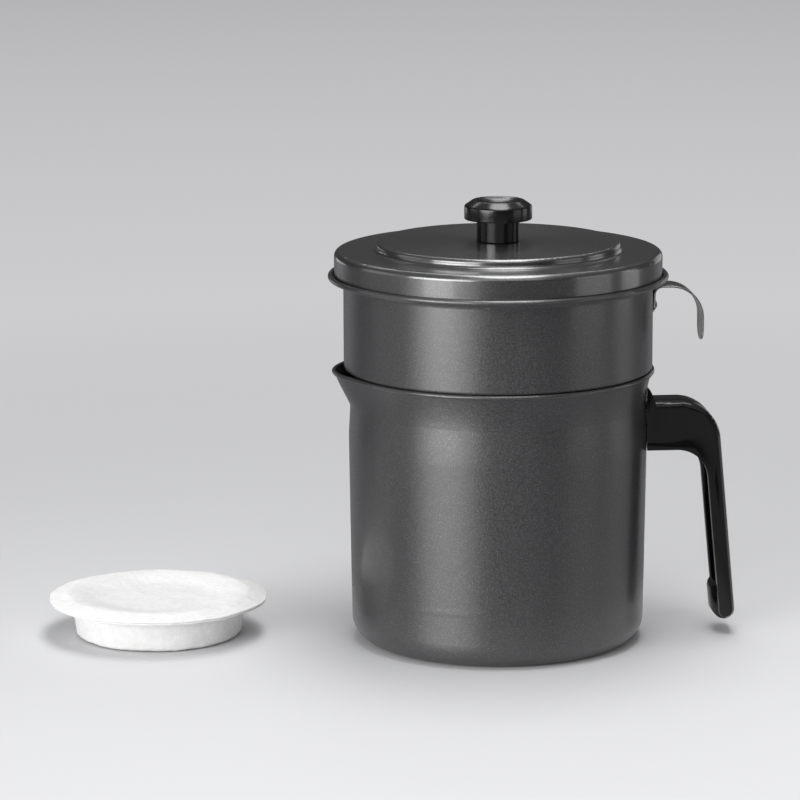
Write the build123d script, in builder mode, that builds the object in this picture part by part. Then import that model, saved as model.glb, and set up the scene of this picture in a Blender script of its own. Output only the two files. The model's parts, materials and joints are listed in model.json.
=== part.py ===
from build123d import *
import os
from math import cos, pi, radians, sin, sqrt, tan

# Oil and bacon grease pot: a drawn steel pot with a pouring spout and a moulded
# handle, a strainer vessel that stands in its mouth, a lid with a knob, and a
# filter cartridge that stands beside it. Millimetres, +Z up, origin at the centre
# of the pot's base, +X towards the handle, -X towards the spout.

os.makedirs("parts", exist_ok=True)

# ---------------------------------------------------------------- pot
pot_height = 116.4          # to the top of the rolled rim
pot_radius = 62.9           # outside, at the top of the straight wall
pot_sheet = 0.8
pot_draft = 1.2             # radius lost from there down to the table
pot_corner_radius = 10.3
straight_below_rim = 30.4   # top of the straight wall, under the rim
neck_draw_in = 0.6          # slight neck under the flared mouth
flare_height = 14.5         # neck to rim
flare_width = 2.65          # neck to the middle of the rolled rim
rim_bead_radius = 0.9
spout_reach = 4.2           # how far the lip is pulled out beyond the rim
spout_half_angle = 27.0     # degrees of rim that the pull draws on, each side
rim_points = 36             # points on the rim's outline, 10 degrees apart

# ---------------------------------------------------------------- strainer vessel
vessel_height = 50.3        # floor to the top of the rolled rim
vessel_sheet = 0.8
vessel_step_height = 10.0   # the narrower step that stands in the pot's mouth
vessel_step_fillet = 3.0
vessel_shoulder_fillet = 1.5
vessel_ledge_reach = 6.5    # rim ledge, from the wall to outside of its bead
vessel_bead_radius = 1.15
seat_lip_height = 3.0       # turned-down lip round the cartridge hole
mouth_clearance = 0.8       # step to the pot's neck
seat_clearance = 0.8        # cartridge cup to the hole
rest_gap = 0.3              # between faces that only rest on each other

# ---------------------------------------------------------------- crumb plate
plate_sheet = 0.5
plate_rise = 4.5            # raised middle, over the cartridge's flange
plate_rim_width = 6.0
plate_edge_gap = 2.5        # plate's edge to the bend round the vessel's floor
plate_hole_radius = 1.6
plate_hole_pitch = 12.0     # between rings of holes, and about as much along a ring
plate_rings = 3

# ---------------------------------------------------------------- hook and rivet
hook_width = 14.0
hook_sheet = 0.8
hook_reach = 21.5           # strainer wall to the outside of the hook
hook_bend_radius = 14.0
hook_root_radius = 3.0
hook_drop = 24.0            # top of the hook to its tip
hook_below_ledge = 3.6
tab_height = 11.9           # flat tab on the wall, under the top of the hook
rivet_head_radius = 2.75
rivet_head_height = 1.7
rivet_shank_radius = 1.5
rivet_tail_radius = 2.6
rivet_tail_height = 0.9
rivet_above_tab_end = 3.0

# ---------------------------------------------------------------- lid
lid_sheet = 0.8
lid_skirt_height = 10.9
lid_shoulder_fillet = 2.4
lid_clearance = 0.35        # skirt to the strainer's rim bead
plateau_radius = 51.3
plateau_height = 3.7
plateau_foot_fillet = 1.6
plateau_edge_fillet = 1.5

# ---------------------------------------------------------------- knob
knob_radius = 14.2
knob_stem_radius = 9.0
knob_stem_height = 9.3
knob_cap_height = 6.2       # straight side of the cap
knob_rim_radius = 10.2      # crest round the dish
knob_rim_rise = 1.9
knob_dish_depth = 1.7
bush_radius = 3.5
bush_length = 8.0
screw_radius = 2.0          # M4 screws in the knob and in the handle
screw_head_radius = 3.6
screw_head_height = 2.4
screw_engagement = 6.0
washer_radius = 4.5
washer_sheet = 0.8
thread_clearance = 0.05
hole_clearance = 0.2

# ---------------------------------------------------------------- handle
arm_below_rim = 15.1
arm_depth = 20.2
handle_width = 22.0
handle_reach = 38.3         # pot's wall to the grip's outer face at its lower end
grip_lean = 5.25            # degrees, outwards going down
grip_depth = 7.05           # outer face to the lips of the channel
outer_bend_radius = 17.4
inner_bend_radius = 13.5
handle_end_height = 6.6     # lower end above the table
handle_end_radius = 4.0
lip_end_radius = 2.6
toe_reach = 2.7             # crowned finger stop at the lower end, beyond the lips
toe_width = 16.0
toe_height = 15.0
toe_top_radius = 3.6
toe_end_radius = 5.6
bevel_rise = 1.6            # bevel along the outer edges
bevel_width = 3.5
pocket_depth = 0.6          # shallow panel in each side of the arm
pocket_border = 2.9
channel_depth = 3.0         # channel in the grip's inner face
lip_thickness = 3.0
collar_width = 26.0
collar_thickness = 3.3
collar_rise = 6.2           # above the arm
collar_fillet = 1.4
collar_above_arm_base = 4.3
wall_gap = 0.15             # moulding to the pot's wall

# ---------------------------------------------------------------- handle bracket
bracket_sheet = 1.5
bracket_width = 16.0
bracket_height = 12.0
tongue_sheet = 2.0
tongue_width = 10.0
tongue_length = 14.0
tongue_rise = 1.2           # above the middle of the arm
screw_reach = 8.0           # pot wall to the handle's screw
pocket_clearance = 0.3
counterbore_radius = 4.4
counterbore_depth = 4.5

# ---------------------------------------------------------------- filter cartridge
cartridge_centre = (-143.7, 17.6)
cartridge_height = 16.4
cartridge_felt = 0.9
flange_radius = 46.7
cup_radius = 37.0
cup_taper = 1.6             # radius lost from the flange to the bottom
cup_corner_radius = 2.0
dish_inset = 1.0            # edge of the dished top, inside the cup's wall
dish_depth = 3.2
dish_slope = 3.0
felt_gap = 0.1

# ---------------------------------------------------------------- derived places
pot_foot_radius = pot_radius - pot_draft
pot_neck_radius = pot_radius - neck_draw_in
rim_line_radius = pot_neck_radius + flare_width
rim_line_z = pot_height - rim_bead_radius
neck_z = rim_line_z - flare_height

vessel_radius = rim_line_radius
seat_distance = vessel_shoulder_fillet + rim_bead_radius + rest_gap
vessel_shoulder_z = (
    rim_line_z + sqrt(seat_distance**2 - vessel_shoulder_fillet**2) - vessel_shoulder_fillet
)
vessel_floor_z = vessel_shoulder_z - vessel_step_height
vessel_step_radius = pot_neck_radius - pot_sheet - mouth_clearance
vessel_bead_z = vessel_floor_z + vessel_height - vessel_bead_radius
vessel_bead_line_radius = vessel_radius + vessel_ledge_reach - vessel_bead_radius
ledge_z = vessel_bead_z - vessel_bead_radius
seat_hole_radius = cup_radius + seat_clearance
floor_top_z = vessel_floor_z + vessel_sheet

lid_radius = vessel_bead_line_radius - vessel_bead_radius - lid_clearance
lid_base_z = ledge_z + vessel_sheet + rest_gap
lid_ring_z = lid_base_z + lid_skirt_height
lid_top_z = lid_ring_z + plateau_height
screw_hole_radius = screw_radius + hole_clearance


def sheet_section(points, radii, thickness):
    """Closed section of bent sheet: the line of one face and its parallel on the left."""
    with BuildSketch(Plane.XZ) as section:
        with BuildLine():
            face_line = FilletPolyline(*points, radius=radii)
            offset(face_line, amount=thickness, side=Side.LEFT)
        make_face()
    return section.sketch


def lip_outline(radius, reach):
    """Points of a round outline that is pulled out towards the spout."""
    half_angle = radians(spout_half_angle)
    points = []
    for k in range(rim_points):
        angle = 2 * pi * (k / rim_points + 0.25) % (2 * pi)
        off_spout = abs(angle - pi)
        pull = reach * cos(pi / 2 * off_spout / half_angle) ** 2 if off_spout < half_angle else 0
        points.append(((radius + pull) * cos(angle), (radius + pull) * sin(angle)))
    return points


def pot_blank(inset):
    """The pot's outer form, or with the sheet as inset, its inside."""
    with BuildPart() as blank:
        with BuildSketch(Plane.XZ):
            with BuildLine():
                wall = FilletPolyline(
                    (0, inset),
                    (pot_foot_radius - inset, inset),
                    (pot_radius - inset, pot_height - straight_below_rim),
                    radius=pot_corner_radius - inset,
                )
                neck = Spline(
                    wall @ 1,
                    (pot_neck_radius - inset, neck_z),
                    tangents=[wall % 1, (0, 1)],
                )
                Line(neck @ 1, (0, neck_z))
                Line((0, neck_z), (0, inset))
            make_face()
        revolve(axis=Axis.Z)
        mouth_sections = []
        for rise in (0, 0.25, 0.5, 0.75, 1):
            radius = pot_neck_radius + (rim_line_radius - pot_neck_radius) * rise**2 - inset
            with BuildSketch(Plane.XY.offset(neck_z + flare_height * rise)) as mouth_section:
                if rise == 0:
                    Circle(radius)
                else:
                    with BuildLine():
                        Spline(*lip_outline(radius, spout_reach * sin(pi / 2 * rise)), periodic=True)
                    make_face()
            mouth_sections.append(mouth_section.sketch)
        loft(sections=mouth_sections)
    return blank.part


# ---------------------------------------------------------------- pot body
outer_blank = pot_blank(0)
with BuildPart() as pot_body:
    add(outer_blank)
    add(pot_blank(pot_sheet), mode=Mode.SUBTRACT)
    with BuildLine(Plane.XY.offset(rim_line_z)) as rim_line:
        Spline(*lip_outline(rim_line_radius, spout_reach), periodic=True)
    with BuildSketch(Plane(origin=rim_line.line @ 0, z_dir=rim_line.line % 0)):
        Circle(rim_bead_radius)
    sweep(path=rim_line.line)
pot_body.part.label = "pot_body"
export_step(pot_body.part, "parts/pot_body.step")


# ---------------------------------------------------------------- strainer vessel
rivet_z = ledge_z - hook_below_ledge - tab_height + rivet_above_tab_end
with BuildPart() as strainer_body:
    revolve(
        sheet_section(
            [
                (seat_hole_radius + vessel_sheet, vessel_floor_z - seat_lip_height),
                (seat_hole_radius + vessel_sheet, vessel_floor_z),
                (vessel_step_radius, vessel_floor_z),
                (vessel_step_radius, vessel_shoulder_z),
                (vessel_radius, vessel_shoulder_z),
                (vessel_radius, ledge_z),
                (vessel_bead_line_radius, ledge_z),
            ],
            [0.6, vessel_step_fillet, 1.0, vessel_shoulder_fillet, 2.5],
            vessel_sheet,
        ),
        axis=Axis.Z,
    )
    with BuildSketch(Plane.XZ):
        with Locations((vessel_bead_line_radius, vessel_bead_z)):
            Circle(vessel_bead_radius)
    revolve(axis=Axis.Z)
    with BuildSketch(Plane.YZ.offset(vessel_radius - 2 * vessel_sheet)):
        with Locations((0, rivet_z)):
            Circle(rivet_shank_radius + thread_clearance)
    extrude(amount=3 * vessel_sheet, mode=Mode.SUBTRACT)
strainer_body.part.label = "strainer_body"
export_step(strainer_body.part, "parts/strainer_body.step")


# ---------------------------------------------------------------- crumb plate
plate_radius = vessel_step_radius - vessel_step_fillet - plate_edge_gap
plate_z = floor_top_z + rest_gap
plate_step_radius = plate_radius - plate_rim_width
with BuildPart() as crumb_plate:
    revolve(
        sheet_section(
            [
                (0, plate_z + plate_rise),
                (plate_step_radius - plate_rise / 2, plate_z + plate_rise),
                (plate_step_radius, plate_z),
                (plate_radius, plate_z),
            ],
            [1.5, 1.0],
            plate_sheet,
        ),
        axis=Axis.Z,
    )
    with BuildSketch(Plane.XY.offset(plate_z)):
        Circle(plate_hole_radius)
        for ring in range(1, plate_rings + 1):
            with PolarLocations(ring * plate_hole_pitch, 6 * ring):
                Circle(plate_hole_radius)
    extrude(amount=plate_rise + 2 * plate_sheet, mode=Mode.SUBTRACT)
crumb_plate.part.label = "crumb_plate"
export_step(crumb_plate.part, "parts/crumb_plate.step")


# ---------------------------------------------------------------- lifting hook
hook_inner_x = vessel_radius + thread_clearance
hook_top_z = ledge_z - hook_below_ledge
hook_inner_reach = vessel_radius + hook_reach - hook_sheet
with BuildPart() as lift_hook:
    extrude(
        sheet_section(
            [
                (hook_inner_x + hook_sheet, hook_top_z - tab_height),
                (hook_inner_x + hook_sheet, hook_top_z - hook_sheet),
                (hook_inner_reach, hook_top_z - hook_sheet),
                (hook_inner_reach, hook_top_z - hook_drop),
            ],
            [hook_root_radius, hook_bend_radius - hook_sheet],
            hook_sheet,
        ),
        amount=hook_width / 2,
        both=True,
    )
    strip_ends = lift_hook.edges().filter_by(Axis.X).sort_by(Axis.Z)[:4]
    fillet(strip_ends, radius=0.45 * hook_width)
    with BuildSketch(Plane.YZ.offset(hook_inner_x - hook_sheet)):
        with Locations((0, rivet_z)):
            Circle(rivet_shank_radius + thread_clearance)
    extrude(amount=3 * hook_sheet, mode=Mode.SUBTRACT)
lift_hook.part.label = "lift_hook"
export_step(lift_hook.part, "parts/lift_hook.step")


# ---------------------------------------------------------------- hook rivet
rivet_head_x = hook_inner_x + hook_sheet
rivet_tail_x = vessel_radius - vessel_sheet - 0.1
with BuildPart() as hook_rivet:
    with BuildSketch(Plane.XZ):
        with BuildLine():
            Polyline(
                (rivet_head_x + rivet_head_height, rivet_z),
                (rivet_tail_x - rivet_tail_height, rivet_z),
                (rivet_tail_x - rivet_tail_height, rivet_z + rivet_tail_radius),
                (rivet_tail_x, rivet_z + rivet_tail_radius),
                (rivet_tail_x, rivet_z + rivet_shank_radius),
                (rivet_head_x, rivet_z + rivet_shank_radius),
                (rivet_head_x, rivet_z + rivet_head_radius),
            )
            dome_radius = (rivet_head_radius**2 + rivet_head_height**2) / (2 * rivet_head_height)
            RadiusArc(
                (rivet_head_x, rivet_z + rivet_head_radius),
                (rivet_head_x + rivet_head_height, rivet_z),
                dome_radius,
            )
        make_face()
    revolve(axis=Axis((0, 0, rivet_z), (1, 0, 0)))
hook_rivet.part.label = "hook_rivet"
export_step(hook_rivet.part, "parts/hook_rivet.step")


# ---------------------------------------------------------------- lid shell
with BuildPart() as lid_shell:
    revolve(
        sheet_section(
            [
                (lid_radius, lid_base_z),
                (lid_radius, lid_ring_z),
                (plateau_radius, lid_ring_z),
                (plateau_radius, lid_top_z),
                (screw_hole_radius, lid_top_z),
            ],
            [lid_shoulder_fillet, plateau_foot_fillet, plateau_edge_fillet],
            lid_sheet,
        ),
        axis=Axis.Z,
    )
lid_shell.part.label = "lid_shell"
export_step(lid_shell.part, "parts/lid_shell.step")


# ---------------------------------------------------------------- knob
knob_cap_z = lid_top_z + knob_stem_height
knob_edge_z = knob_cap_z + knob_cap_height
knob_rim_z = knob_edge_z + knob_rim_rise
with BuildPart() as lid_knob:
    with BuildSketch(Plane.XZ):
        with BuildLine():
            Polyline(
                (0, knob_rim_z - knob_dish_depth),
                (0, lid_top_z),
                (knob_stem_radius, lid_top_z),
                (knob_stem_radius, knob_cap_z),
                (knob_radius, knob_cap_z),
                (knob_radius, knob_edge_z),
                (knob_rim_radius, knob_rim_z),
            )
            dish_curve_radius = (knob_rim_radius**2 + knob_dish_depth**2) / (2 * knob_dish_depth)
            RadiusArc(
                (knob_rim_radius, knob_rim_z),
                (0, knob_rim_z - knob_dish_depth),
                dish_curve_radius,
            )
        make_face()
    revolve(axis=Axis.Z)
    round_edges = lid_knob.edges().filter_by(GeomType.CIRCLE)
    fillet(round_edges.filter_by_position(Axis.Z, knob_cap_z, knob_rim_z).sort_by(SortBy.RADIUS)[-2:], 0.8)
    with BuildSketch(Plane.XY.offset(lid_top_z)):
        Circle(bush_radius + thread_clearance)
    extrude(amount=bush_length + 1, mode=Mode.SUBTRACT)
lid_knob.part.label = "lid_knob"
export_step(lid_knob.part, "parts/lid_knob.step")

with BuildPart() as knob_bush:
    with BuildSketch(Plane.XY.offset(lid_top_z)):
        Circle(bush_radius)
        Circle(screw_radius + thread_clearance, mode=Mode.SUBTRACT)
    extrude(amount=bush_length)
knob_bush.part.label = "knob_bush"
export_step(knob_bush.part, "parts/knob_bush.step")

knob_washer_z = lid_top_z - lid_sheet - washer_sheet
with BuildPart() as knob_washer:
    with BuildSketch(Plane.XY.offset(knob_washer_z)):
        Circle(washer_radius)
        Circle(screw_hole_radius, mode=Mode.SUBTRACT)
    extrude(amount=washer_sheet)
knob_washer.part.label = "knob_washer"
export_step(knob_washer.part, "parts/knob_washer.step")


def pan_screw(name, x, seat_z, length):
    """Upward pan-head screw: its head hangs under seat_z and its shank stands above it."""
    with BuildPart() as screw:
        with BuildSketch(Plane.XY.offset(seat_z - screw_head_height)):
            with Locations((x, 0)):
                Circle(screw_head_radius)
        extrude(amount=screw_head_height)
        fillet(screw.edges().group_by(Axis.Z)[0], 0.8)
        with BuildSketch(Plane.XY.offset(seat_z)):
            with Locations((x, 0)):
                Circle(screw_radius)
        extrude(amount=length)
    screw.part.label = name
    export_step(screw.part, f"parts/{name}.step")


pan_screw("knob_screw", 0, knob_washer_z, washer_sheet + lid_sheet + screw_engagement)


# ---------------------------------------------------------------- handle grip
lean = tan(radians(grip_lean))
arm_top = pot_height - arm_below_rim
arm_base = arm_top - arm_depth
tongue_z = (arm_top + arm_base) / 2 + tongue_rise
screw_x = pot_radius + screw_reach
counterbore_top_z = arm_base + counterbore_depth


def outer_x(z):
    """The grip's outer face at height z."""
    return pot_radius + handle_reach - (z - handle_end_height) * lean


def inner_x(z):
    """The lips of the grip's channel at height z."""
    return outer_x(z) - grip_depth


def handle_face(offset_y, inset):
    """Side outline of arm and grip, its outer edges drawn in by the inset."""
    with BuildSketch(Plane.XZ.offset(offset_y)) as face:
        with BuildLine():
            rounded = FilletPolyline(
                (0, arm_top - inset),
                (outer_x(arm_top) - inset, arm_top - inset),
                (outer_x(handle_end_height) - inset, handle_end_height + inset),
                (inner_x(handle_end_height), handle_end_height + inset),
                (inner_x(arm_base), arm_base),
                (0, arm_base),
                radius=[
                    outer_bend_radius - inset,
                    handle_end_radius - inset,
                    lip_end_radius,
                    inner_bend_radius,
                ],
            )
            Line(rounded @ 1, rounded @ 0)
        make_face()
    return face.sketch


toe_top_z = handle_end_height + toe_height
with BuildPart() as toe:
    with BuildSketch(Plane.XZ):
        with BuildLine():
            toe_line = FilletPolyline(
                (inner_x(toe_top_z) + channel_depth, toe_top_z),
                (inner_x(toe_top_z) - toe_reach, toe_top_z),
                (inner_x(handle_end_height) - toe_reach, handle_end_height),
                (inner_x(handle_end_height) + channel_depth, handle_end_height),
                radius=[toe_top_radius, toe_end_radius],
            )
            Line(toe_line @ 1, toe_line @ 0)
        make_face()
    extrude(amount=toe_width / 2, both=True)
    crown_radius = ((toe_width / 2) ** 2 + toe_reach**2) / (2 * toe_reach)
    crown_x = inner_x(handle_end_height) - toe_reach + crown_radius
    with BuildSketch(Plane(origin=(crown_x, 0, handle_end_height), z_dir=(-lean, 0, 1))):
        Circle(crown_radius)
    extrude(amount=2 * toe_height, both=True, mode=Mode.INTERSECT)

with BuildPart() as wall_room:
    with BuildSketch(Plane.XY.offset(pot_corner_radius)):
        Circle(pot_radius + wall_gap)
    extrude(amount=pot_height)

collar_x = pot_radius + collar_thickness
collar_base = arm_base + collar_above_arm_base
collar_top = arm_top + collar_rise
collar_shoulder_z = collar_top - 2 * collar_rise
with BuildPart() as collar:
    with BuildSketch(Plane.XZ):
        with BuildLine():
            Polyline(
                (collar_x, collar_shoulder_z),
                (collar_x, collar_base),
                (0, collar_base),
                (0, collar_top),
                (pot_radius, collar_top),
            )
            TangentArc(
                (collar_x, collar_shoulder_z),
                (pot_radius, collar_top),
                tangent=(0, 1),
            )
        make_face()
    extrude(amount=collar_width / 2, both=True)
    fillet(collar.edges().filter_by(Axis.Y).group_by(Axis.Z)[0].sort_by(Axis.X)[-1], collar_fillet)

with BuildPart() as handle_grip:
    extrude(handle_face(0, 0), amount=handle_width / 2 - bevel_width, both=True)
    for side in (1, -1):
        loft(
            sections=[
                handle_face(side * (handle_width / 2 - bevel_width), 0),
                handle_face(side * handle_width / 2, bevel_rise),
            ],
            ruled=True,
        )
    # shallow panel in each side of the arm, running out where the grip begins
    panel_top = arm_top - pocket_border
    panel_base = arm_base + pocket_border
    panel_end_z = arm_base - inner_bend_radius
    with BuildSketch(Plane.XZ) as panel:
        with BuildLine():
            panel_line = FilletPolyline(
                (0, panel_top),
                (outer_x(panel_top) - pocket_border, panel_top),
                (outer_x(panel_end_z) - pocket_border, panel_end_z),
                (inner_x(panel_end_z) + pocket_border, panel_end_z),
                (inner_x(panel_base) + pocket_border, panel_base),
                (0, panel_base),
                radius=[
                    outer_bend_radius - pocket_border,
                    0.25,
                    0.25,
                    inner_bend_radius + pocket_border,
                ],
            )
            Line(panel_line @ 1, panel_line @ 0)
        make_face()
    for side in (1, -1):
        panel_floor = panel.sketch.moved(Location((0, side * (handle_width / 2 - pocket_depth), 0)))
        extrude(panel_floor, amount=-side * 2 * pocket_depth, mode=Mode.SUBTRACT)
    # channel between the two lips of the grip, from the bend down to the toe
    channel_end_z = toe_top_z
    channel_start_x = inner_x(arm_base) - inner_bend_radius + 0.5
    with BuildSketch(Plane.XZ):
        with BuildLine():
            channel_line = FilletPolyline(
                (inner_x(channel_end_z) - 2 * channel_depth, channel_end_z),
                (inner_x(channel_end_z) + channel_depth, channel_end_z),
                (inner_x(arm_base) + channel_depth, arm_base + channel_depth),
                (channel_start_x, arm_base + channel_depth),
                radius=[1.5, inner_bend_radius + channel_depth],
            )
            Polyline(
                channel_line @ 1,
                (channel_start_x, arm_base - 2 * inner_bend_radius),
                channel_line @ 0,
            )
        make_face()
    extrude(amount=handle_width / 2 - lip_thickness, both=True, mode=Mode.SUBTRACT)
    add(toe.part)
    # collar against the pot's wall; root hollowed for wall, bracket and screw
    add(collar.part)
    add(wall_room.part, mode=Mode.SUBTRACT)
    with BuildSketch(Plane.XY.offset(tongue_z - bracket_height / 2 - pocket_clearance)):
        with Locations((pot_radius, 0)):
            Rectangle(
                2 * (bracket_sheet + pocket_clearance),
                bracket_width + 2 * pocket_clearance,
            )
    extrude(amount=bracket_height + 2 * pocket_clearance, mode=Mode.SUBTRACT)
    with BuildSketch(Plane.XY.offset(tongue_z - tongue_sheet / 2 - pocket_clearance)):
        with Locations((pot_radius, 0)):
            Rectangle(
                2 * (tongue_length + pocket_clearance),
                tongue_width + 2 * pocket_clearance,
            )
    extrude(amount=tongue_sheet + 2 * pocket_clearance, mode=Mode.SUBTRACT)
    with BuildSketch(Plane.XY.offset(arm_base)):
        with Locations((screw_x, 0)):
            Circle(counterbore_radius)
    extrude(amount=counterbore_depth, mode=Mode.SUBTRACT)
    with BuildSketch(Plane.XY.offset(arm_base)):
        with Locations((screw_x, 0)):
            Circle(screw_hole_radius)
    extrude(amount=tongue_z - arm_base + 4, mode=Mode.SUBTRACT)
handle_grip.part.label = "handle_grip"
export_step(handle_grip.part, "parts/handle_grip.step")


# ---------------------------------------------------------------- handle bracket
with BuildPart() as handle_bracket:
    with BuildSketch(Plane.XY.offset(tongue_z - bracket_height / 2)):
        with Locations((pot_radius - neck_draw_in, 0)):
            Rectangle(2 * (neck_draw_in + bracket_sheet), bracket_width)
    extrude(amount=bracket_height)
    with BuildSketch(Plane.XY.offset(tongue_z - tongue_sheet / 2)):
        with Locations((pot_radius, 0)):
            Rectangle(2 * tongue_length, tongue_width)
    extrude(amount=tongue_sheet)
    with BuildSketch(Plane.XY.offset(arm_base)):
        with Locations((screw_x, 0)):
            Circle(screw_radius + thread_clearance)
    extrude(amount=arm_depth, mode=Mode.SUBTRACT)
    add(outer_blank, mode=Mode.SUBTRACT)
handle_bracket.part.label = "handle_bracket"
export_step(handle_bracket.part, "parts/handle_bracket.step")

with BuildPart() as handle_washer:
    with BuildSketch(Plane.XY.offset(counterbore_top_z - washer_sheet)):
        with Locations((screw_x, 0)):
            Circle(screw_head_radius)
            Circle(screw_hole_radius, mode=Mode.SUBTRACT)
    extrude(amount=washer_sheet)
handle_washer.part.label = "handle_washer"
export_step(handle_washer.part, "parts/handle_washer.step")

pan_screw(
    "handle_screw",
    screw_x,
    counterbore_top_z - washer_sheet,
    tongue_z - counterbore_top_z + washer_sheet + 3,
)


# ---------------------------------------------------------------- filter cartridge
cartridge_axis = Axis((*cartridge_centre, 0), (0, 0, 1))
cartridge_plane = Plane(origin=(*cartridge_centre, 0), x_dir=(1, 0, 0), z_dir=(0, -1, 0))
cup_top_z = cartridge_height - cartridge_felt
dish_z = cartridge_height - dish_depth
dish_radius = cup_radius - dish_inset


def felt_section(points, radii, thickness):
    """Closed section of one moulded felt layer of the cartridge."""
    with BuildSketch(cartridge_plane) as section:
        with BuildLine():
            face_line = FilletPolyline(*points, radius=radii)
            offset(face_line, amount=thickness, side=Side.LEFT)
        make_face()
    return section.sketch


with BuildPart() as cartridge_cover:
    revolve(
        felt_section(
            [
                (flange_radius, cartridge_height),
                (dish_radius, cartridge_height),
                (dish_radius - dish_slope, dish_z),
                (0, dish_z),
            ],
            [2.0, 2.0],
            cartridge_felt,
        ),
        axis=cartridge_axis,
    )
cartridge_cover.part.label = "cartridge_cover"
export_step(cartridge_cover.part, "parts/cartridge_cover.step")

with BuildPart() as cartridge_cup:
    revolve(
        felt_section(
            [
                (0, 0),
                (cup_radius - cup_taper, 0),
                (cup_radius, cup_top_z - cartridge_felt),
                (flange_radius, cup_top_z - cartridge_felt),
            ],
            [cup_corner_radius, 0.6],
            cartridge_felt,
        ),
        axis=cartridge_axis,
    )
cartridge_cup.part.label = "cartridge_cup"
export_step(cartridge_cup.part, "parts/cartridge_cup.step")

bed_radius = cup_radius - cup_taper - cartridge_felt - felt_gap
with BuildPart() as carbon_bed:
    with BuildSketch(Plane.XY.offset(cartridge_felt + felt_gap)):
        with Locations(cartridge_centre):
            Circle(bed_radius)
    extrude(amount=dish_z - 2 * cartridge_felt - 2 * felt_gap)
    fillet(carbon_bed.edges().group_by(Axis.Z)[0], cup_corner_radius)
carbon_bed.part.label = "carbon_bed"
export_step(carbon_bed.part, "parts/carbon_bed.step")
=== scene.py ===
import json
from math import cos, pi, radians, sin

import bpy
from mathutils import Matrix, Vector


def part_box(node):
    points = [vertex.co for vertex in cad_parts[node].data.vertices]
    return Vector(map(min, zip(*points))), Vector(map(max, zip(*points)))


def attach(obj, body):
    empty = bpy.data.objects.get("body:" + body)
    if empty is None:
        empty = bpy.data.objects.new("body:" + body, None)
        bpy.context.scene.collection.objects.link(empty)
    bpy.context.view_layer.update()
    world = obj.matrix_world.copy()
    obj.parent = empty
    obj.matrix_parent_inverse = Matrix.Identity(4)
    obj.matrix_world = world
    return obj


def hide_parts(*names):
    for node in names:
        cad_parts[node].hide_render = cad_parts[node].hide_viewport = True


# Oil and bacon grease pot, dressed: gun-metal coated steel, black phenolic handle and
# knob, bright stainless hook, white felt filter cartridge. The frame is in metres; sizes
# written here are millimetres.

MM = 0.001

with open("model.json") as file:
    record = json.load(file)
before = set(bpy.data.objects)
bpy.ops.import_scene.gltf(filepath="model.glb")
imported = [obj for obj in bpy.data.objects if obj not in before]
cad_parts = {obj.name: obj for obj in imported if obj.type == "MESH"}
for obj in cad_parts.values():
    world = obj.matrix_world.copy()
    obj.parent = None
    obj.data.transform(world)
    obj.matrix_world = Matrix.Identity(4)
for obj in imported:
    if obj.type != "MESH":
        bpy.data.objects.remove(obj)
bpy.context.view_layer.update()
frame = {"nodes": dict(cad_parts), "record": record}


# ---------------------------------------------------------------- small helpers
def deselect_all():
    bpy.ops.object.select_all(action="DESELECT")


def colour(hex_code):
    """sRGB hex to the linear colour that a shader socket takes."""
    channels = [int(hex_code[i:i + 2], 16) / 255 for i in (1, 3, 5)]
    linear = [c / 12.92 if c <= 0.04045 else ((c + 0.055) / 1.055) ** 2.4 for c in channels]
    return (*linear, 1)


def add_node(tree, kind, settings=None, inputs=None):
    """Adds a shader node, with its settings by name and its inputs by name or number."""
    node = tree.nodes.new(kind)
    for key, value in (settings or {}).items():
        setattr(node, key, value)
    for socket, value in (inputs or {}).items():
        if isinstance(value, bpy.types.NodeSocket):
            tree.links.new(value, node.inputs[socket])
        else:
            node.inputs[socket].default_value = value
    return node


def new_material(name):
    """An empty material, its node tree and the shader that its surface takes."""
    material = bpy.data.materials.new(name)
    material.use_nodes = True
    return material, material.node_tree, material.node_tree.nodes["Principled BSDF"]


def box_mm(node):
    """A CAD node's lowest and highest corners at rest, in millimetres."""
    return [[value / MM for value in corner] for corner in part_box(node)]


# ---------------------------------------------------------------- camera
camera_place = Vector((-185.4, -1645.7, 429.9)) * MM
camera_pitch = 11.2         # degrees below level
camera_turn = 5.0           # degrees to the right of straight ahead
camera_roll = -0.16
camera_lens = 180.0

camera_data = bpy.data.cameras.new("camera")
camera_data.lens = camera_lens
camera_data.sensor_width = 36.0
camera_data.clip_start = 0.05
camera_data.clip_end = 50.0
camera = bpy.data.objects.new("camera", camera_data)
bpy.context.scene.collection.objects.link(camera)
camera.matrix_world = (
    Matrix.Translation(camera_place)
    @ Matrix.Rotation(radians(-camera_turn), 4, "Z")
    @ Matrix.Rotation(radians(90 - camera_pitch), 4, "X")
    @ Matrix.Rotation(radians(camera_roll), 4, "Z")
)
bpy.context.scene.camera = camera


# ---------------------------------------------------------------- studio
def soft_box(name, place, aim, width, height, brightness):
    """A rectangular soft box at place, facing aim; at brightness 1 it looks plain white."""
    lamp = bpy.data.lights.new(name, "AREA")
    lamp.shape = "RECTANGLE"
    lamp.size = width * MM
    lamp.size_y = height * MM
    lamp.energy = brightness * pi * lamp.size * lamp.size_y
    box = bpy.data.objects.new(name, lamp)
    bpy.context.scene.collection.objects.link(box)
    facing = (Vector(aim) - Vector(place)).to_track_quat("-Z", "Y").to_matrix().to_4x4()
    box.matrix_world = Matrix.Translation(Vector(place) * MM) @ facing


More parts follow.
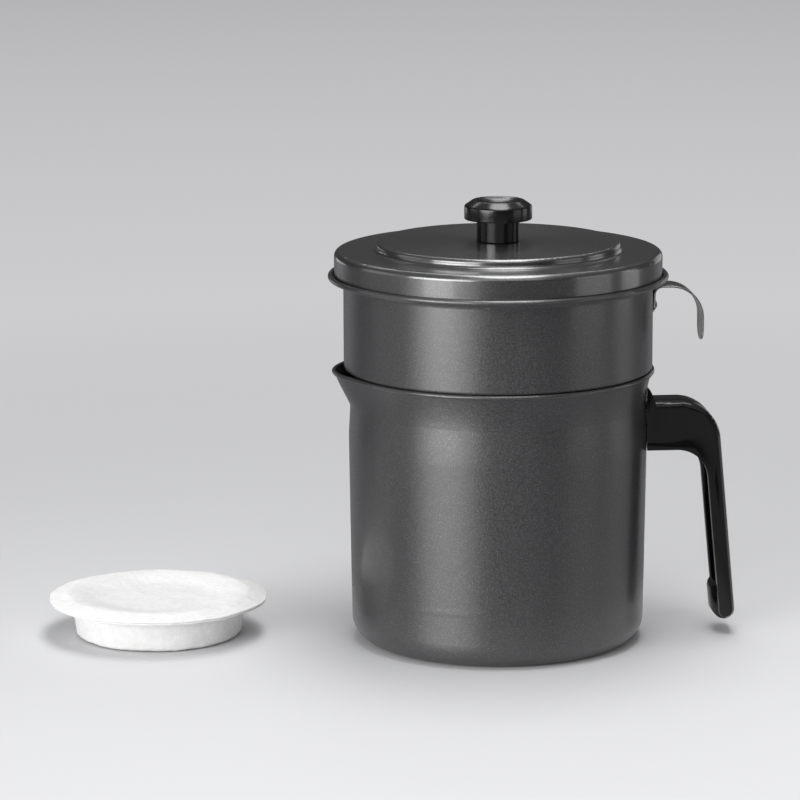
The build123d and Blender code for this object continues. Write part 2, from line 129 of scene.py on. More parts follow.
def lamps():
    """Soft boxes all round; the tall window at the left draws the long band of sheen down
    the walls, and the strips overhead and behind draw the bright lines on the lid."""
    soft_box("overhead_strip", (60, -60, 1050), (60, -61, 100), 380, 900, 6.6)
    soft_box("back_box", (40, 760, 900), (0, 0, 180), 260, 300, 2.2)
    soft_box("back_strip", (60, 760, 940), (0, 0, 150), 1000, 60, 4.0)
    soft_box("left_strip", (-600, -560, 240), (0, 0, 240), 300, 460, 2.1)
    soft_box("left_window", (-1580, -1530, 450), (0, 0, 450), 1800, 880, 6.6)
    soft_box("left_side_box", (-1500, 150, 450), (0, 0, 450), 900, 880, 0.8)
    soft_box("right_box", (720, -390, 230), (0, 0, 230), 420, 440, 0.8)
    soft_box("right_strip", (860, 90, 230), (0, 0, 230), 300, 440, 1.1)
    soft_box("right_rim_box", (640, 900, 240), (0, 0, 240), 420, 460, 0.5)
    soft_box("left_rim_box", (-600, 950, 100), (0, 0, 100), 420, 190, 0.9)
    soft_box("front_fill", (-150, -1700, 1300), (0, 0, 60), 2200, 1300, 1.15)


def room():
    """A dim room that is lighter overhead; the camera sees a pale wall in its place."""
    level_light = 0.06
    overhead_light = 0.34
    level_until = 0.25          # height of the direction, 1 straight up
    overhead_from = 0.95
    world = bpy.data.worlds.new("studio")
    bpy.context.scene.world = world
    world.use_nodes = True
    tree = world.node_tree
    direction = add_node(tree, "ShaderNodeTexCoord").outputs["Generated"]
    height = add_node(tree, "ShaderNodeSeparateXYZ", inputs={"Vector": direction}).outputs["Z"]
    room_light = add_node(
        tree, "ShaderNodeMapRange", {"interpolation_type": "SMOOTHSTEP"},
        {
            "Value": height, "From Min": level_until, "From Max": overhead_from,
            "To Min": level_light, "To Max": overhead_light,
        },
    ).outputs["Result"]
    dim_room = tree.nodes["Background"]
    dim_room.inputs["Color"].default_value = colour("#fbfcff")
    tree.links.new(room_light, dim_room.inputs["Strength"])
    pale_wall = add_node(
        tree, "ShaderNodeBackground", inputs={"Color": colour("#b6b7b9"), "Strength": 1.0},
    )
    seen = add_node(tree, "ShaderNodeLightPath").outputs["Is Camera Ray"]
    mixed = add_node(
        tree, "ShaderNodeMixShader",
        inputs={0: seen, 1: dim_room.outputs["Background"], 2: pale_wall.outputs["Background"]},
    )
    tree.links.new(mixed.outputs["Shader"], tree.nodes["World Output"].inputs["Surface"])


def grey_paper():
    """Matt paper: near the object it is lit by the lamps, and further off the camera sees
    its own pale grey. Both are painted darker towards the back, as shade where less light falls.
    Gloss on the object sees a darker sheet beyond the pot's foot: painted shade in the
    reflections low on the pot's walls."""
    darkening_depth = 350.0     # before and behind the object
    foot_reach = 75.0
    mirror_reach = 150.0
    near_reach = 150.0
    far_reach = 900.0
    end_reach = 3000.0
    material, tree, shader = new_material("matt_grey_paper")
    shader.inputs["Roughness"].default_value = 0.95
    shader.inputs["Specular IOR Level"].default_value = 0.2
    place = add_node(tree, "ShaderNodeTexCoord").outputs["Object"]
    depth = add_node(tree, "ShaderNodeSeparateXYZ", inputs={"Vector": place}).outputs["Y"]
    # painted shade: the paper darkens towards the back, where less light falls
    toward_back = add_node(
        tree, "ShaderNodeMapRange", {"interpolation_type": "SMOOTHSTEP"},
        {"Value": depth, "From Min": -darkening_depth * MM, "From Max": darkening_depth * MM},
    ).outputs["Result"]
    near_paper = add_node(
        tree, "ShaderNodeMix", {"data_type": "RGBA"},
        {0: toward_back, 6: colour("#e0e0e1"), 7: colour("#cbcbcd")},
    ).outputs[2]
    paths = add_node(tree, "ShaderNodeLightPath")
    distance = add_node(
        tree, "ShaderNodeVectorMath", {"operation": "LENGTH"}, {0: place},
    ).outputs["Value"]
    # painted shade: beyond the pot's foot the object's gloss sees the paper much darker than it is
    off_foot = add_node(
        tree, "ShaderNodeMapRange", {"interpolation_type": "SMOOTHSTEP"},
        {"Value": distance, "From Min": foot_reach * MM, "From Max": mirror_reach * MM},
    ).outputs["Result"]
    mirrored = add_node(
        tree, "ShaderNodeMath", {"operation": "MULTIPLY"},
        {0: off_foot, 1: paths.outputs["Is Glossy Ray"]},
    ).outputs["Value"]
    seen_paper = add_node(
        tree, "ShaderNodeMix", {"data_type": "RGBA"}, {0: mirrored, 6: near_paper, 7: colour("#868688")},
    ).outputs[2]
    tree.links.new(seen_paper, shader.inputs["Base Color"])
    # painted shade: the far paper the camera sees is darker the further off it lies
    far_tone = add_node(
        tree, "ShaderNodeMapRange", {"interpolation_type": "LINEAR"},
        {"Value": distance, "From Min": near_reach * MM, "From Max": end_reach * MM},
    ).outputs["Result"]
    far_colour = add_node(
        tree, "ShaderNodeMix", {"data_type": "RGBA"},
        {0: far_tone, 6: colour("#d4d4d6"), 7: colour("#b3b3b5")},
    ).outputs[2]
    far_paper = add_node(tree, "ShaderNodeEmission", inputs={"Color": far_colour, "Strength": 1.0})
    far_share = add_node(
        tree, "ShaderNodeMapRange", {"interpolation_type": "SMOOTHSTEP"},
        {"Value": distance, "From Min": near_reach * MM, "From Max": far_reach * MM},
    ).outputs["Result"]
    share = add_node(
        tree, "ShaderNodeMath", {"operation": "MULTIPLY"},
        {0: far_share, 1: paths.outputs["Is Camera Ray"]},
    ).outputs["Value"]
    paper = add_node(
        tree, "ShaderNodeMixShader",
        inputs={0: share, 1: shader.outputs["BSDF"], 2: far_paper.outputs["Emission"]},
    )
    tree.links.new(paper.outputs["Shader"], tree.nodes["Material Output"].inputs["Surface"])
    return material


def paper_floor():
    side = 14                   # metres, past anything the camera sees
    deselect_all()
    bpy.ops.mesh.primitive_plane_add(size=side, location=(0, 0, 0))
    floor = bpy.context.object
    floor.name = "floor"
    floor.data.materials.append(grey_paper())


lamps()
room()
paper_floor()


# ---------------------------------------------------------------- finishes
def coordinates_mm(tree, stretch=(1, 1, 1)):
    """Place on the object in millimetres, stretched where a grain runs one way."""
    place = add_node(tree, "ShaderNodeTexCoord").outputs["Object"]
    scale = tuple(s / MM for s in stretch)
    return add_node(tree, "ShaderNodeMapping", inputs={"Vector": place, "Scale": scale}).outputs["Vector"]


def gun_metal_coating(name, drawing, roughness, tones, gloss, gloss_ior, relief):
    """Baked non-stick coating on drawn steel: satin, nearly black, with a fine sprayed
    grain, a sparse metallic fleck and a faint draw line above the pot's base. The lines
    that drawing leaves round the wall spread its sheen up and down, by drawing from 0 to 1.
    roughness and tones go from the grain's hollows to its tops, gloss is how much clear
    film lies over it, and relief is the grain's height."""
    grain_size = 0.7            # real grain is about 0.3; drawn coarser to show
    fleck_spacing = 0.55
    fleck_core = 0.16           # shares of the spacing
    fleck_edge = 0.24
    smudge_size = 22.0
    smudge_dulling = 0.05
    draw_line_z = 24.0
    draw_line_width = 2.2
    draw_line_height = 0.05
    material, tree, shader = new_material(name)
    place = coordinates_mm(tree)
    grain = add_node(
        tree, "ShaderNodeTexNoise",
        inputs={"Vector": place, "Scale": 1 / grain_size, "Detail": 3.0, "Roughness": 0.6},
    ).outputs["Fac"]
    smudge = add_node(
        tree, "ShaderNodeTexNoise", inputs={"Vector": place, "Scale": 1 / smudge_size, "Detail": 2.0},
    ).outputs["Fac"]
    fleck_distance = add_node(
        tree, "ShaderNodeTexVoronoi", inputs={"Vector": place, "Scale": 1 / fleck_spacing},
    ).outputs["Distance"]
    fleck = add_node(
        tree, "ShaderNodeMapRange",
        inputs={
            "Value": fleck_distance, "From Min": fleck_core, "From Max": fleck_edge,
            "To Min": 1.0, "To Max": 0.0,
        },
    ).outputs["Result"]
    mottle = add_node(
        tree, "ShaderNodeMapRange", inputs={"Value": grain, "From Min": 0.4, "From Max": 0.6},
    ).outputs["Result"]
    coat = add_node(
        tree, "ShaderNodeMix", {"data_type": "RGBA"},
        {0: mottle, 6: colour(tones[0]), 7: colour(tones[1])},
    ).outputs[2]
    flecked = add_node(
        tree, "ShaderNodeMix", {"data_type": "RGBA"}, {0: fleck, 6: coat, 7: colour("#8c8c8e")},
    ).outputs[2]
    tree.links.new(flecked, shader.inputs["Base Color"])
    tree.links.new(fleck, shader.inputs["Metallic"])
    grain_roughness = add_node(
        tree, "ShaderNodeMapRange",
        inputs={"Value": mottle, "To Min": roughness[0], "To Max": roughness[1]},
    ).outputs["Result"]
    smudged = add_node(
        tree, "ShaderNodeMath", {"operation": "MULTIPLY_ADD"},
        {0: smudge, 1: smudge_dulling, 2: grain_roughness},
    ).outputs["Value"]
    tree.links.new(smudged, shader.inputs["Roughness"])
    shader.inputs["IOR"].default_value = 1.95
    shader.inputs["Coat Weight"].default_value = gloss
    shader.inputs["Coat IOR"].default_value = gloss_ior
    shader.inputs["Coat Roughness"].default_value = 0.13
    around = add_node(
        tree, "ShaderNodeVectorMath", {"operation": "CROSS_PRODUCT"}, {0: (0, 0, 1), 1: place},
    ).outputs["Vector"]
    tree.links.new(around, shader.inputs["Tangent"])
    shader.inputs["Anisotropic"].default_value = drawing
    shader.inputs["Anisotropic Rotation"].default_value = 0.25
    level = add_node(tree, "ShaderNodeSeparateXYZ", inputs={"Vector": place}).outputs["Z"]
    off_line = add_node(
        tree, "ShaderNodeMath", {"operation": "SUBTRACT"}, {0: level, 1: draw_line_z},
    ).outputs["Value"]
    from_line = add_node(
        tree, "ShaderNodeMath", {"operation": "ABSOLUTE"}, {0: off_line},
    ).outputs["Value"]
    line = add_node(
        tree, "ShaderNodeMapRange", {"interpolation_type": "SMOOTHSTEP"},
        {"Value": from_line, "From Min": 0.0, "From Max": draw_line_width, "To Min": 1.0, "To Max": 0.0},
    ).outputs["Result"]
    grain_bump = add_node(
        tree, "ShaderNodeBump", inputs={"Height": grain, "Distance": relief * MM, "Strength": 1.0},
    ).outputs["Normal"]
    line_bump = add_node(
        tree, "ShaderNodeBump",
        inputs={"Height": line, "Distance": draw_line_height * MM, "Strength": 1.0, "Normal": grain_bump},
    ).outputs["Normal"]
    tree.links.new(line_bump, shader.inputs["Normal"])
    return material


def black_phenolic(name, roughness):
    """Compression-moulded phenolic: hard, deep black and glossy, with the slight
    orange-peel of a polished mould and faint dulling from wiping; roughness goes from
    the clean places to the wiped ones."""
    peel_size = 4.0
    peel_height = 0.012
    wipe_size = 12.0
    material, tree, shader = new_material(name)
    place = coordinates_mm(tree)
    peel = add_node(
        tree, "ShaderNodeTexNoise", inputs={"Vector": place, "Scale": 1 / peel_size, "Detail": 2.0},
    ).outputs["Fac"]
    wipe = add_node(
        tree, "ShaderNodeTexNoise",
        inputs={"Vector": place, "Scale": 1 / wipe_size, "Detail": 4.0, "Roughness": 0.65},
    ).outputs["Fac"]
    tone = add_node(
        tree, "ShaderNodeMix", {"data_type": "RGBA"},
        {0: wipe, 6: colour("#040405"), 7: colour("#0a0a0b")},
    ).outputs[2]
    tree.links.new(tone, shader.inputs["Base Color"])
    wiped = add_node(
        tree, "ShaderNodeMapRange",
        inputs={"Value": wipe, "To Min": roughness[0], "To Max": roughness[1]},
    ).outputs["Result"]
    tree.links.new(wiped, shader.inputs["Roughness"])
    shader.inputs["IOR"].default_value = 1.6
    shader.inputs["Specular IOR Level"].default_value = 0.4
    bump = add_node(
        tree, "ShaderNodeBump", inputs={"Height": peel, "Distance": peel_height * MM, "Strength": 1.0},
    ).outputs["Normal"]
    tree.links.new(bump, shader.inputs["Normal"])
    return material


def rolled_stainless(name, roughness):
    """Bright rolled stainless strip: a mirror softened by the fine lines of the rolls;
    roughness goes from the bright lines to the dull ones."""
    line_spacing = 0.25
    line_depth = 0.004
    material, tree, shader = new_material(name)
    place = coordinates_mm(tree, (0.04, 1, 0.04))
    lines = add_node(
        tree, "ShaderNodeTexNoise",
        inputs={"Vector": place, "Scale": 1 / line_spacing, "Detail": 3.0, "Roughness": 0.7},
    ).outputs["Fac"]
    tone = add_node(
        tree, "ShaderNodeMix", {"data_type": "RGBA"},
        {0: lines, 6: colour("#b9b8b6"), 7: colour("#dad9d6")},
    ).outputs[2]
    tree.links.new(tone, shader.inputs["Base Color"])
    shader.inputs["Metallic"].default_value = 1.0
    lined = add_node(
        tree, "ShaderNodeMapRange",
        inputs={"Value": lines, "To Min": roughness[0], "To Max": roughness[1]},
    ).outputs["Result"]
    tree.links.new(lined, shader.inputs["Roughness"])
    bump = add_node(
        tree, "ShaderNodeBump", inputs={"Height": lines, "Distance": line_depth * MM, "Strength": 1.0},
    ).outputs["Normal"]
    tree.links.new(bump, shader.inputs["Normal"])
    return material


def polished_stainless():
    """Headed stainless rivet, tumbled bright among small stones."""
    dent_size = 0.8
    material, tree, shader = new_material("polished_stainless")
    place = coordinates_mm(tree)
    tumbling = add_node(
        tree, "ShaderNodeTexNoise", inputs={"Vector": place, "Scale": 1 / dent_size, "Detail": 4.0},
    ).outputs["Fac"]
    tone = add_node(
        tree, "ShaderNodeMix", {"data_type": "RGBA"},
        {0: tumbling, 6: colour("#c8c7c5"), 7: colour("#e2e1df")},
    ).outputs[2]
    tree.links.new(tone, shader.inputs["Base Color"])
    shader.inputs["Metallic"].default_value = 1.0
    roughness = add_node(
        tree, "ShaderNodeMapRange", inputs={"Value": tumbling, "To Min": 0.06, "To Max": 0.2},
    ).outputs["Result"]
    tree.links.new(roughness, shader.inputs["Roughness"])
    return material


def bright_zinc():
    """Zinc-plated steel: bluish white, with the dull and bright patches of the plating."""
    patch_size = 1.6
    material, tree, shader = new_material("bright_zinc_plate")
    place = coordinates_mm(tree)
    patches = add_node(
        tree, "ShaderNodeTexVoronoi", inputs={"Vector": place, "Scale": 1 / patch_size},
    ).outputs["Color"]
    patch = add_node(tree, "ShaderNodeSeparateColor", inputs={"Color": patches}).outputs["Red"]
    tone = add_node(
        tree, "ShaderNodeMix", {"data_type": "RGBA"},
        {0: patch, 6: colour("#a9adb2"), 7: colour("#c6c9cc")},
    ).outputs[2]
    tree.links.new(tone, shader.inputs["Base Color"])
    shader.inputs["Metallic"].default_value = 1.0
    roughness = add_node(
        tree, "ShaderNodeMapRange", inputs={"Value": patch, "To Min": 0.22, "To Max": 0.36},
    ).outputs["Result"]
    tree.links.new(roughness, shader.inputs["Roughness"])
    return material


def turned_brass():
    """Brass insert as it leaves the lathe: yellow, with close rings of tool marks."""
    ring_scale = 1 / 1.8        # a ring each 0.57 mm; one of scale 1 is 0.314 mm wide
    ring_depth = 0.01
    material, tree, shader = new_material("turned_brass")
    place = coordinates_mm(tree)
    rings = add_node(
        tree, "ShaderNodeTexWave", {"wave_type": "BANDS", "bands_direction": "Z"},
        {"Vector": place, "Scale": ring_scale, "Distortion": 0.6, "Detail": 2.0},
    ).outputs["Fac"]
    tone = add_node(
        tree, "ShaderNodeMix", {"data_type": "RGBA"},
        {0: rings, 6: colour("#b08d4a"), 7: colour("#d2b069")},
    ).outputs[2]
    tree.links.new(tone, shader.inputs["Base Color"])
    shader.inputs["Metallic"].default_value = 1.0
    shader.inputs["Roughness"].default_value = 0.28
    bump = add_node(
        tree, "ShaderNodeBump", inputs={"Height": rings, "Distance": ring_depth * MM, "Strength": 1.0},
    ).outputs["Normal"]
    tree.links.new(bump, shader.inputs["Normal"])
    return material


def bonded_felt():
    """Non-woven polyester felt: white, quite matt, its fibres lying every way with small
    pits and lumps between them. The pits are painted darker, as shade."""
    fibre_width = 0.35          # real fibres are about 0.03; drawn coarser to show
    lump_size = 2.4
    lump_share = 0.6            # of the relief, and the share of each lay of fibres
    fibre_share = 0.4
    relief = 0.22
    fibre_lays = ((0.16, 1, 1), (1, 0.16, 1), (1, 1, 0.5))
    material, tree, shader = new_material("bonded_felt")
    lumps = add_node(
        tree, "ShaderNodeTexNoise",
        inputs={"Vector": coordinates_mm(tree), "Scale": 1 / lump_size, "Detail": 3.0, "Roughness": 0.6},
    ).outputs["Fac"]
    height = add_node(
        tree, "ShaderNodeMath", {"operation": "MULTIPLY"}, {0: lumps, 1: lump_share},
    ).outputs["Value"]
    for stretch in fibre_lays:
        fibres = add_node(
            tree, "ShaderNodeTexNoise",
            inputs={
                "Vector": coordinates_mm(tree, stretch), "Scale": 1 / fibre_width,
                "Detail": 2.0, "Distortion": 1.2,
            },
        ).outputs["Fac"]
        height = add_node(
            tree, "ShaderNodeMath", {"operation": "MULTIPLY_ADD"}, {0: fibres, 1: fibre_share, 2: height},
        ).outputs["Value"]
    # painted shade: the felt's colour darkens in the pits between fibres and lumps
    tone = add_node(
        tree, "ShaderNodeMapRange", inputs={"Value": height, "From Min": 0.6, "From Max": 1.2},
    ).outputs["Result"]
    white = add_node(
        tree, "ShaderNodeMix", {"data_type": "RGBA"},
        {0: tone, 6: colour("#dcdcdb"), 7: colour("#f1f1f0")},
    ).outputs[2]
    tree.links.new(white, shader.inputs["Base Color"])
    shader.inputs["Roughness"].default_value = 0.95
    shader.inputs["Specular IOR Level"].default_value = 0.25
    shader.inputs["Sheen Weight"].default_value = 0.25
    bump = add_node(
        tree, "ShaderNodeBump", inputs={"Height": height, "Distance": relief * MM, "Strength": 1.0},
    ).outputs["Normal"]
    tree.links.new(bump, shader.inputs["Normal"])
    return material


def activated_carbon():
    """Packed carbon granules: dull black grains of about 1.5 mm, their edges and the gaps painted darker,
    as shade.
    """
    granule_size = 1.5
    gap_depth = 0.5
    material, tree, shader = new_material("activated_carbon")
    granules = add_node(
        tree, "ShaderNodeTexVoronoi",
        inputs={"Vector": coordinates_mm(tree), "Scale": 1 / granule_size},
    ).outputs["Distance"]
    # painted shade: each grain darkens towards its edges and the gaps between grains
    tone = add_node(
        tree, "ShaderNodeMix", {"data_type": "RGBA"},
        {0: granules, 6: colour("#1d1d1e"), 7: colour("#060606")},
    ).outputs[2]
    tree.links.new(tone, shader.inputs["Base Color"])
    shader.inputs["Roughness"].default_value = 0.75
    bump = add_node(
        tree, "ShaderNodeBump", {"invert": True},
        {"Height": granules, "Distance": gap_depth * MM, "Strength": 1.0},
    ).outputs["Normal"]
    tree.links.new(bump, shader.inputs["Normal"])
    return material


finishes = {
    "coated_steel": gun_metal_coating(
        "gun_metal_coating", drawing=0.7, roughness=(0.34, 0.45), tones=("#111112", "#262628"),
        gloss=0.5, gloss_ior=1.5, relief=0.04,
    ),
    "phenolic": black_phenolic("black_phenolic", roughness=(0.07, 0.15)),
    "stainless_strip": rolled_stainless("rolled_stainless", roughness=(0.12, 0.26)),
    "stainless_rivet": polished_stainless(),
    "zinc_steel": bright_zinc(),
    "brass": turned_brass(),
    "white_felt": bonded_felt(),
    "activated_carbon": activated_carbon(),
}
# pressing flattens the lid's coat and dulls the crumb plate, and fingers dull the knob;
# the lid's tones are darker than the walls', painted shade for its top, which takes more light from above
pressed_and_shaded_finishes = {
    "lid_shell": gun_metal_coating(
        "gun_metal_coating_pressed_shaded", drawing=0.3, roughness=(0.26, 0.32), tones=("#0e0e0f", "#181819"),
        gloss=0.9, gloss_ior=1.6, relief=0.01,
    ),
    "crumb_plate": rolled_stainless("rolled_stainless_pressed", roughness=(0.3, 0.42)),
}
handled_phenolic = black_phenolic("black_phenolic_handled", roughness=(0.16, 0.22))

for part in frame["record"]["subparts"]:
    finish = pressed_and_shaded_finishes.get(part["node"], finishes[part["material_slot"]])
    materials = frame["nodes"][part["node"]].data.materials
    materials.clear()
    materials.append(finish)


# ---------------------------------------------------------------- pieces
def fit_out(piece, body, slot, node, finish=None):
    """Lets a finished piece ride on its body in place of its node, with its slot's finish
    or one of its own."""
    piece.data.materials.clear()
    piece.data.materials.append(finish or finishes[slot])
    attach(piece, body)
    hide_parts(node)


def softened_copy(node, name, edge_radius, segments):
    """A copy of a node with its triangles merged to faces and its sharp edges rounded."""
    flat_within = radians(0.5)
    sharp_from = radians(28)
    piece = bpy.data.objects.new(name, frame["nodes"][node].data.copy())
    bpy.context.scene.collection.objects.link(piece)
    deselect_all()
    piece.select_set(True)
    bpy.context.view_layer.objects.active = piece
    bpy.ops.mesh.customdata_custom_splitnormals_clear()
    bpy.ops.object.mode_set(mode="EDIT")
    bpy.ops.mesh.select_all(action="SELECT")
    bpy.ops.mesh.remove_doubles(threshold=0.001 * MM)
    bpy.ops.mesh.dissolve_limited(angle_limit=flat_within)
    bpy.ops.object.mode_set(mode="OBJECT")
    rounding = piece.modifiers.new("rounding", "BEVEL")
    rounding.limit_method = "ANGLE"
    rounding.angle_limit = sharp_from
    rounding.width = edge_radius * MM
    rounding.segments = segments
    bpy.ops.object.modifier_apply(modifier=rounding.name)
    bpy.ops.object.shade_smooth_by_angle(angle=sharp_from)
    return piece


def handle():
    """Moulded phenolic handle with the small radii of its mould."""
    piece = softened_copy("handle_grip", "handle", edge_radius=0.6, segments=3)
    fit_out(piece, "pot", "phenolic", "handle_grip")


def hook():
    """Bent stainless strip with its edges broken."""
    piece = softened_copy("lift_hook", "hook", edge_radius=0.15, segments=2)
    fit_out(piece, "strainer", "stainless_strip", "lift_hook")


def draw_out(rise):
    """Extrudes what is selected upwards by a rise in millimetres."""
    bpy.ops.mesh.extrude_region_move(TRANSFORM_OT_translate={"value": (0, 0, rise * MM)})


def turned(name, centre, outline, segments):
    """A closed body of revolution about centre: rings of the outline, from pole to pole,
    each extruded from the last and brought to its radius. Millimetres."""
    x, y = centre
    (_, first_pole_z), (radius, z) = outline[:2]
    deselect_all()
    bpy.ops.mesh.primitive_circle_add(
        vertices=segments, radius=radius * MM, location=(x * MM, y * MM, z * MM),
    )
    piece = bpy.context.object
    piece.name = name
    bpy.ops.object.transform_apply(location=True, rotation=True, scale=True)
    bpy.ops.object.mode_set(mode="EDIT")
    bpy.ops.mesh.select_all(action="SELECT")
    draw_out(first_pole_z - z)
    bpy.ops.mesh.merge(type="CENTER")
    bpy.ops.object.mode_set(mode="OBJECT")
    for vertex in piece.data.vertices:
        from_axis = Vector((vertex.co.x - x * MM, vertex.co.y - y * MM, 0)).length
        vertex.select = from_axis > 0.5 * radius * MM       # the first ring, not its pole
    bpy.ops.object.mode_set(mode="EDIT")
    for next_radius, next_z in outline[2:-1]:
        draw_out(next_z - z)
        ratio = next_radius / radius
        bpy.ops.transform.resize(
            value=(ratio, ratio, 1), center_override=(x * MM, y * MM, next_z * MM),
        )
        radius, z = next_radius, next_z
    last_pole_z = outline[-1][1]
    draw_out(last_pole_z - z)
    bpy.ops.mesh.merge(type="CENTER")
    bpy.ops.mesh.select_all(action="SELECT")
    bpy.ops.mesh.normals_make_consistent(inside=False)
    bpy.ops.object.mode_set(mode="OBJECT")
    return piece


def straight(start, end, steps):
    """Points from start to end in a line, without the first."""
    (r0, z0), (r1, z1) = start, end
    return [(r0 + (r1 - r0) * i / steps, z0 + (z1 - z0) * i / steps) for i in range(1, steps + 1)]


def eased(start, end, steps):
    """Points from start to end on a soft S, without the first."""
    (r0, z0), (r1, z1) = start, end
    return [
        (r0 + (r1 - r0) * i / steps, z0 + (z1 - z0) * (1 - cos(pi * i / steps)) / 2)
        for i in range(1, steps + 1)
    ]


def arc(centre, radius, from_angle, to_angle, steps):
    """Points of an arc in the outline's plane, angles from the outward direction."""
    turn = radians(to_angle - from_angle)
    angles = [radians(from_angle) + turn * i / steps for i in range(steps + 1)]
    return [(centre[0] + radius * cos(a), centre[1] + radius * sin(a)) for a in angles]


# ---------------------------------------------------------------- filter cartridge
felt_low, felt_high = box_mm("cartridge_cup")
felt_centre = ((felt_low[0] + felt_high[0]) / 2, (felt_low[1] + felt_high[1]) / 2)
brim_radius = (felt_high[0] - felt_low[0]) / 2 - 0.3        # leaves room for the uneven edge
felt_ply = 0.9
brim_edge_z = 14.6          # under side of the brim at its edge
brim_rise = 1.7             # the brim climbs inwards to its crest
crest_radius = 38.6
dish_floor_z = 15.7
dish_floor_radius = 21.0
cup_brim_radius = brim_radius - 0.5         # the lower ply ends a little inside the upper
cup_top_radius = 37.0
cup_foot_radius = 35.4
cup_corner = 2.0
cup_foot_z = 0.5            # the uneven underside touches the table in places
hub_radius = 2.0            # ring next to each pole
bond_gap = 0.02             # keeps the faces of the two plies apart
moulding_drift = (1.0, 13.0)        # how far the moulded felt strays, and over what length
surface_lumps = (0.5, 2.4)
felt_segments = 240


def waver(piece, amount, grain):
    """Warps a felt piece along each axis by soft noise of the given grain size, so that
    two plies that lie on each other stay so."""
    for axis, basis in (("X", "BLENDER_ORIGINAL"), ("Y", "ORIGINAL_PERLIN"), ("Z", "IMPROVED_PERLIN")):
        clouds = bpy.data.textures.new("felt_clouds", "CLOUDS")
        clouds.noise_scale = grain * MM
        clouds.noise_depth = 1
        clouds.noise_basis = basis
        drift = piece.modifiers.new("drift", "DISPLACE")
        drift.texture = clouds
        drift.texture_coords = "GLOBAL"
        drift.direction = axis
        drift.strength = amount * MM
        bpy.ops.object.modifier_apply(modifier=drift.name)


def felt_ply_of(name, outline, node):
    """One ply of the cartridge, turned to its outline and made uneven as felt is."""
    piece = turned(name, felt_centre, outline, felt_segments)
    waver(piece, *moulding_drift)
    waver(piece, *surface_lumps)
    bpy.ops.object.shade_smooth()
    fit_out(piece, "cartridge", "white_felt", node)


def felt_cover():
    """Upper ply: a shallow dish inside a soft raised crest, and the brim outside it."""
    under_z = brim_edge_z + felt_ply
    edge_centre = (brim_radius - felt_ply / 2, under_z + felt_ply / 2)
    brim_top = (edge_centre[0], under_z + felt_ply)
    brim_under = (edge_centre[0], under_z + bond_gap)
    crest = (crest_radius, under_z + felt_ply + brim_rise)
    under_crest = (crest_radius, crest[1] - felt_ply)
    floor_edge = (dish_floor_radius, dish_floor_z)
    under_floor_z = dish_floor_z - felt_ply
    outline = [(0, dish_floor_z), (hub_radius, dish_floor_z)]
    outline += straight((hub_radius, dish_floor_z), floor_edge, 12)
    outline += eased(floor_edge, crest, 14)
    outline += straight(crest, brim_top, 8)
    outline += arc(edge_centre, felt_ply / 2, 80, -80, 6)
    outline += straight(brim_under, under_crest, 6)
    outline += eased(under_crest, (dish_floor_radius, under_floor_z), 10)
    outline += [(hub_radius, under_floor_z), (0, under_floor_z)]
    felt_ply_of("felt_cover", outline, "cartridge_cover")


def felt_cup():
    """Lower ply: the moulded cup that holds the carbon, its brim bonded to the cover's."""
    wall_top_z = brim_edge_z - 0.8      # the wall bends out to the brim above this
    throat = (cup_top_radius + 0.3, brim_edge_z)
    brim_root = (cup_top_radius + 1.0, brim_edge_z + 0.5)
    edge_centre = (cup_brim_radius - felt_ply / 2, brim_edge_z + felt_ply / 2)
    top_z = brim_edge_z + felt_ply
    brim_under = (edge_centre[0], brim_edge_z)
    brim_top = (edge_centre[0], top_z - bond_gap)
    corner_centre = (cup_foot_radius - cup_corner, cup_foot_z + cup_corner)
    foot_edge = (corner_centre[0] - 1, cup_foot_z)
    mouth_radius = cup_top_radius - felt_ply
    inner_foot = (cup_foot_radius - felt_ply, corner_centre[1])
    inner_floor_z = cup_foot_z + felt_ply
    outline = [(0, cup_foot_z), (hub_radius, cup_foot_z)]
    outline += straight((hub_radius, cup_foot_z), foot_edge, 10)
    outline += arc(corner_centre, cup_corner, -88, 0, 6)
    outline += straight((cup_foot_radius, corner_centre[1]), (cup_top_radius, wall_top_z), 10)
    outline += [throat, brim_root]
    outline += straight(brim_root, brim_under, 7)
    outline += arc(edge_centre, felt_ply / 2, -80, 80, 6)
    outline += straight(brim_top, (mouth_radius, top_z + 0.5), 7)
    outline += straight((mouth_radius, top_z), inner_foot, 8)
    outline += arc(corner_centre, cup_corner - felt_ply, 0, -88, 4)
    outline += [(hub_radius, inner_floor_z), (0, inner_floor_z)]
    felt_ply_of("felt_cup", outline, "cartridge_cup")


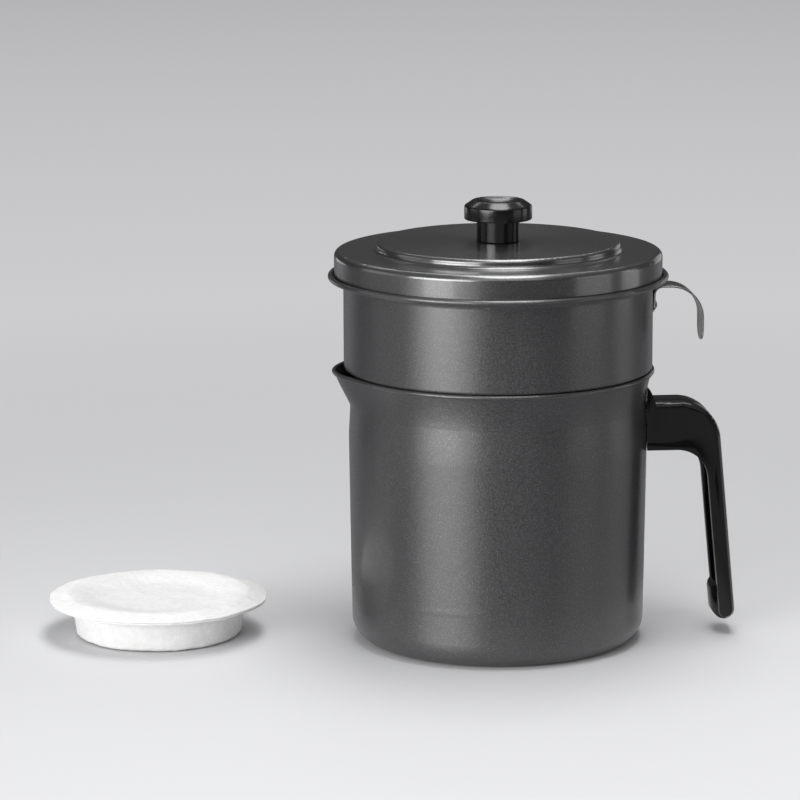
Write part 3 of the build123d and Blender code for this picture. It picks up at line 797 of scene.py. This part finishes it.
# ---------------------------------------------------------------- knob and screws
def knob():
    """Phenolic knob moulded over its bush: a stem, and a cap with a bevelled shoulder
    round a shallow finger dish."""
    inset = 0.02                # keeps its faces inside the node's box and off the bush
    stem_radius = 9.0
    stem_height = 9.3
    cap_side = 6.2
    cap_crest_radius = 10.4
    dish_depth = 2.3
    mould_radius = 0.5
    shoulder_radius = 1.1
    bevel_angle = 62            # degrees up from level, square to the bevel
    dish_steps = 10
    sharp_from = radians(35)
    segments = 128
    low, high = box_mm("lid_knob")
    _, bush_high = box_mm("knob_bush")
    cap_radius = high[0]
    base_z = low[2] + inset
    top_z = high[2] - inset
    bush_radius = bush_high[0] + inset
    bush_top_z = bush_high[2] + inset
    cap_z = base_z + stem_height
    edge_z = cap_z + cap_side
    outline = [(0, bush_top_z), (bush_radius, bush_top_z), (bush_radius, base_z)]
    outline += arc((stem_radius - mould_radius, base_z + mould_radius), mould_radius, -90, 0, 4)
    outline += arc((stem_radius + mould_radius, cap_z - mould_radius), mould_radius, 180, 90, 4)
    outline += arc((cap_radius - mould_radius, cap_z + mould_radius), mould_radius, -90, 0, 4)
    shoulder_centre = (cap_radius - shoulder_radius, edge_z - shoulder_radius)
    outline += arc(shoulder_centre, shoulder_radius, 0, bevel_angle, 6)
    outline += arc((cap_crest_radius, top_z - shoulder_radius), shoulder_radius, bevel_angle, 110, 6)
    rim_radius, rim_z = outline[-1]
    floor_z = top_z - dish_depth
    for step in range(1, dish_steps + 1):
        out = 1 - step / dish_steps
        outline.append((rim_radius * out, floor_z + (rim_z - floor_z) * out ** 2))
    piece = turned("knob", (0, 0), outline, segments)
    bpy.ops.object.shade_smooth_by_angle(angle=sharp_from)
    fit_out(piece, "lid", "phenolic", "lid_knob", handled_phenolic)


def cross_recess(piece, centre, head_z):
    """Cuts a cross for the driver into the head of a screw whose head looks down."""
    recess_length = 3.8
    recess_width = 0.9
    recess_depth = 1.3
    for length, width in ((recess_length, recess_width), (recess_width, recess_length)):
        bpy.ops.mesh.primitive_cube_add(
            size=1, location=(centre[0] * MM, centre[1] * MM, head_z * MM),
            scale=(length * MM, width * MM, 2 * recess_depth * MM),
        )
        cutter = bpy.context.object
        recess = piece.modifiers.new("cross_recess", "BOOLEAN")
        recess.operation = "DIFFERENCE"
        recess.object = cutter
        bpy.context.view_layer.objects.active = piece
        bpy.ops.object.modifier_apply(modifier=recess.name)
        bpy.data.objects.remove(cutter)


def pan_screw(node, name, body):
    """Pan-head M4 screw with a cross recess, its head downwards."""
    inset = 0.01                # keeps its faces inside the node's box
    head_height = 2.4
    head_edge = 1.2
    head_flat_radius = 0.8
    shank_radius = 2.0
    neck = 0.4                  # plain shank under the head
    thread_pitch = 0.7
    thread_depth = 0.3
    crest_wear = 0.05
    sharp_from = radians(30)
    segments = 48
    low, high = box_mm(node)
    centre = ((low[0] + high[0]) / 2, (low[1] + high[1]) / 2)
    head_radius = (high[0] - low[0]) / 2 - inset
    head_z = low[2] + inset
    top_z = high[2] - inset
    outline = [(0, head_z), (head_flat_radius, head_z)]
    outline += arc((head_radius - head_edge, head_z + head_edge), head_edge, -90, 0, 8)
    outline += [(head_radius, head_z + head_height), (shank_radius, head_z + head_height)]
    z = head_z + head_height + neck
    while z + thread_pitch < top_z - thread_depth:
        outline += [(shank_radius - thread_depth, z), (shank_radius - crest_wear, z + thread_pitch / 2)]
        z += thread_pitch
    outline += [(shank_radius - thread_depth, top_z), (0, top_z)]
    piece = turned(name, centre, outline, segments)
    cross_recess(piece, centre, head_z)
    deselect_all()
    piece.select_set(True)
    bpy.context.view_layer.objects.active = piece
    bpy.ops.object.shade_smooth_by_angle(angle=sharp_from)
    fit_out(piece, body, "zinc_steel", node)


handle()
hook()
knob()
pan_screw("knob_screw", "screw_of_knob", "lid")
pan_screw("handle_screw", "screw_of_handle", "pot")
felt_cover()
felt_cup()

scene = bpy.context.scene
scene.view_settings.view_transform = "Standard"
